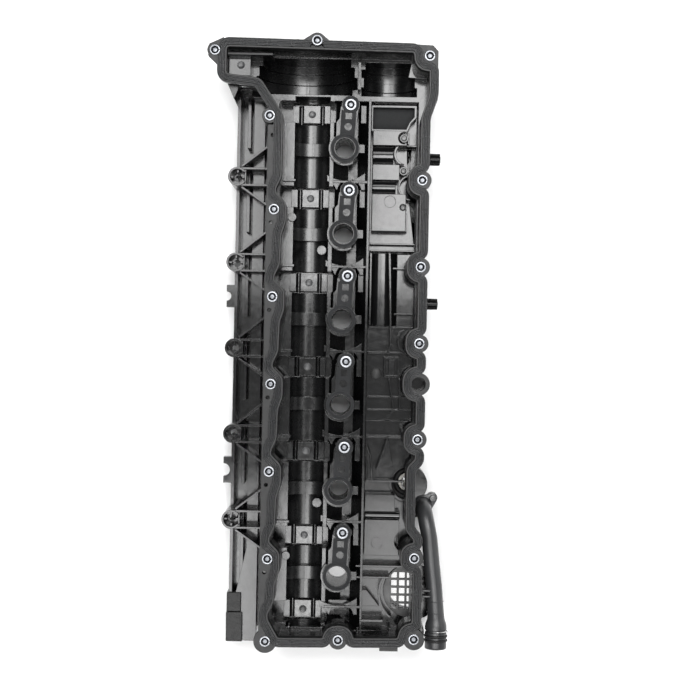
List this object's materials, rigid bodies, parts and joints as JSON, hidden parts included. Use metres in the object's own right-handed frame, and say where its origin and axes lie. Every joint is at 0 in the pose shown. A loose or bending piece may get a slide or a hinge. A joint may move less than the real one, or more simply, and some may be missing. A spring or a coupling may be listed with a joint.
{
  "type": "cylinder-head cover",
  "caption": "Moulded plastic cylinder-head cover of a straight engine with gasket, captive bolts, coil wells, oil separator, filler grille, breather pipe and cable channel.",
  "frame": {"origin": "on the plane of the steel sleeves' ends, above the line of the coil wells and halfway along it", "axes": "+Z out of the gasket face, towards the head; +Y towards the timing end; +X towards the oil separator's side"},
  "size_m": [0.264, 0.6466, 0.1],
  "materials": {
    "cover_plastic": "satin",
    "baffle_plastic": "satin",
    "duct_plastic": "satin",
    "pipe_plastic": "satin",
    "flange_rubber": "matte",
    "coil_rubber": "matte",
    "valve_rubber": "matte",
    "sleeve_steel": "satin",
    "bolt_zinc": "satin",
    "screw_steel": "satin",
    "spring_steel": "satin",
    "screen_fleece": "matte",
    "grille_plastic": "satin",
    "plate_plastic": "satin"
  },
  "bodies": {
    "cover": {"cover_shell": "cover_plastic", "perimeter_gasket": "flange_rubber", "flange_sleeves": "sleeve_steel", "coil_sleeves": "sleeve_steel", "coil_gasket_1": "coil_rubber", "coil_gasket_2": "coil_rubber", "coil_gasket_3": "coil_rubber", "coil_gasket_4": "coil_rubber", "coil_gasket_5": "coil_rubber", "coil_gasket_6": "coil_rubber", "separator_plate_front": "baffle_plastic", "separator_plate_mid": "baffle_plastic", "separator_plate_rear": "baffle_plastic", "separator_screen": "screen_fleece", "separator_labyrinth": "baffle_plastic", "baffle_screws": "screw_steel", "filler_grille": "grille_plastic", "pcv_cap": "duct_plastic", "pcv_diaphragm": "valve_rubber", "pcv_spring": "spring_steel", "breather_pipe": "pipe_plastic", "breather_orings": "valve_rubber", "pipe_screws": "screw_steel", "side_nozzle_front": "duct_plastic", "side_nozzle_mid": "duct_plastic", "harness_duct": "duct_plastic", "duct_end_cap": "duct_plastic"},
    "bolt_01": {"bolt_01": "bolt_zinc"},
    "bolt_02": {"bolt_02": "bolt_zinc"},
    "bolt_03": {"bolt_03": "bolt_zinc"},
    "bolt_04": {"bolt_04": "bolt_zinc"},
    "bolt_05": {"bolt_05": "bolt_zinc"},
    "bolt_06": {"bolt_06": "bolt_zinc"},
    "bolt_07": {"bolt_07": "bolt_zinc"},
    "bolt_08": {"bolt_08": "bolt_zinc"},
    "bolt_09": {"bolt_09": "bolt_zinc"},
    "bolt_10": {"bolt_10": "bolt_zinc"},
    "bolt_11": {"bolt_11": "bolt_zinc"},
    "bolt_12": {"bolt_12": "bolt_zinc"},
    "bolt_13": {"bolt_13": "bolt_zinc"},
    "bolt_14": {"bolt_14": "bolt_zinc"},
    "bolt_15": {"bolt_15": "bolt_zinc"},
    "bolt_16": {"bolt_16": "bolt_zinc"},
    "bolt_17": {"bolt_17": "bolt_zinc"},
    "coil_bolt_1": {"coil_bolt_1": "bolt_zinc"},
    "coil_bolt_2": {"coil_bolt_2": "bolt_zinc"},
    "coil_bolt_3": {"coil_bolt_3": "bolt_zinc"},
    "coil_bolt_4": {"coil_bolt_4": "bolt_zinc"},
    "coil_bolt_5": {"coil_bolt_5": "bolt_zinc"},
    "coil_bolt_6": {"coil_bolt_6": "bolt_zinc"},
    "drain_valve": {"drain_valve": "valve_rubber"},
    "pcv_plate": {"pcv_plate": "plate_plastic"},
    "breather_clip": {"breather_clip": "spring_steel"}
  },
  "joints": [
    {"name": "bolt_01_slide", "type": "slide", "parent": "cover", "child": "bolt_01", "axis": [0, 0, 1], "range_m": [0, 0.0098]},
    {"name": "bolt_02_slide", "type": "slide", "parent": "cover", "child": "bolt_02", "axis": [0, 0, 1], "range_m": [0, 0.0098]},
    {"name": "bolt_03_slide", "type": "slide", "parent": "cover", "child": "bolt_03", "axis": [0, 0, 1], "range_m": [0, 0.0098]},
    {"name": "bolt_04_slide", "type": "slide", "parent": "cover", "child": "bolt_04", "axis": [0, 0, 1], "range_m": [0, 0.0098]},
    {"name": "bolt_05_slide", "type": "slide", "parent": "cover", "child": "bolt_05", "axis": [0, 0, 1], "range_m": [0, 0.0098]},
    {"name": "bolt_06_slide", "type": "slide", "parent": "cover", "child": "bolt_06", "axis": [0, 0, 1], "range_m": [0, 0.0098]},
    {"name": "bolt_07_slide", "type": "slide", "parent": "cover", "child": "bolt_07", "axis": [0, 0, 1], "range_m": [0, 0.0098]},
    {"name": "bolt_08_slide", "type": "slide", "parent": "cover", "child": "bolt_08", "axis": [0, 0, 1], "range_m": [0, 0.0098]},
    {"name": "bolt_09_slide", "type": "slide", "parent": "cover", "child": "bolt_09", "axis": [0, 0, 1], "range_m": [0, 0.0098]},
    {"name": "bolt_10_slide", "type": "slide", "parent": "cover", "child": "bolt_10", "axis": [0, 0, 1], "range_m": [0, 0.0098]},
    {"name": "bolt_11_slide", "type": "slide", "parent": "cover", "child": "bolt_11", "axis": [0, 0, 1], "range_m": [0, 0.0098]},
    {"name": "bolt_12_slide", "type": "slide", "parent": "cover", "child": "bolt_12", "axis": [0, 0, 1], "range_m": [0, 0.0098]},
    {"name": "bolt_13_slide", "type": "slide", "parent": "cover", "child": "bolt_13", "axis": [0, 0, 1], "range_m": [0, 0.0098]},
    {"name": "bolt_14_slide", "type": "slide", "parent": "cover", "child": "bolt_14", "axis": [0, 0, 1], "range_m": [0, 0.0098]},
    {"name": "bolt_15_slide", "type": "slide", "parent": "cover", "child": "bolt_15", "axis": [0, 0, 1], "range_m": [0, 0.0098]},
    {"name": "bolt_16_slide", "type": "slide", "parent": "cover", "child": "bolt_16", "axis": [0, 0, 1], "range_m": [0, 0.0098]},
    {"name": "bolt_17_slide", "type": "slide", "parent": "cover", "child": "bolt_17", "axis": [0, 0, 1], "range_m": [0, 0.0098]},
    {"name": "coil_bolt_1_slide", "type": "slide", "parent": "cover", "child": "coil_bolt_1", "axis": [0, 0, 1], "range_m": [0, 0.0098]},
    {"name": "coil_bolt_2_slide", "type": "slide", "parent": "cover", "child": "coil_bolt_2", "axis": [0, 0, 1], "range_m": [0, 0.0098]},
    {"name": "coil_bolt_3_slide", "type": "slide", "parent": "cover", "child": "coil_bolt_3", "axis": [0, 0, 1], "range_m": [0, 0.0098]},
    {"name": "coil_bolt_4_slide", "type": "slide", "parent": "cover", "child": "coil_bolt_4", "axis": [0, 0, 1], "range_m": [0, 0.0098]},
    {"name": "coil_bolt_5_slide", "type": "slide", "parent": "cover", "child": "coil_bolt_5", "axis": [0, 0, 1], "range_m": [0, 0.0098]},
    {"name": "coil_bolt_6_slide", "type": "slide", "parent": "cover", "child": "coil_bolt_6", "axis": [0, 0, 1], "range_m": [0, 0.0098]},
    {"name": "drain_valve_lift", "type": "slide", "parent": "cover", "child": "drain_valve", "axis": [0, 0, 1], "range_m": [0, 0.0012]},
    {"name": "pcv_plate_stroke", "type": "slide", "parent": "cover", "child": "pcv_plate", "axis": [0, 0, 1], "range_m": [-0.0015, 0.0025], "stiffness_N_per_m": 400, "deforming": ["pcv_spring", "pcv_diaphragm"]},
    {"name": "breather_clip_pull", "type": "slide", "parent": "cover", "child": "breather_clip", "axis": [1, 0, 0], "range_m": [0, 0.003], "stiffness_N_per_m": 300}
  ]
}
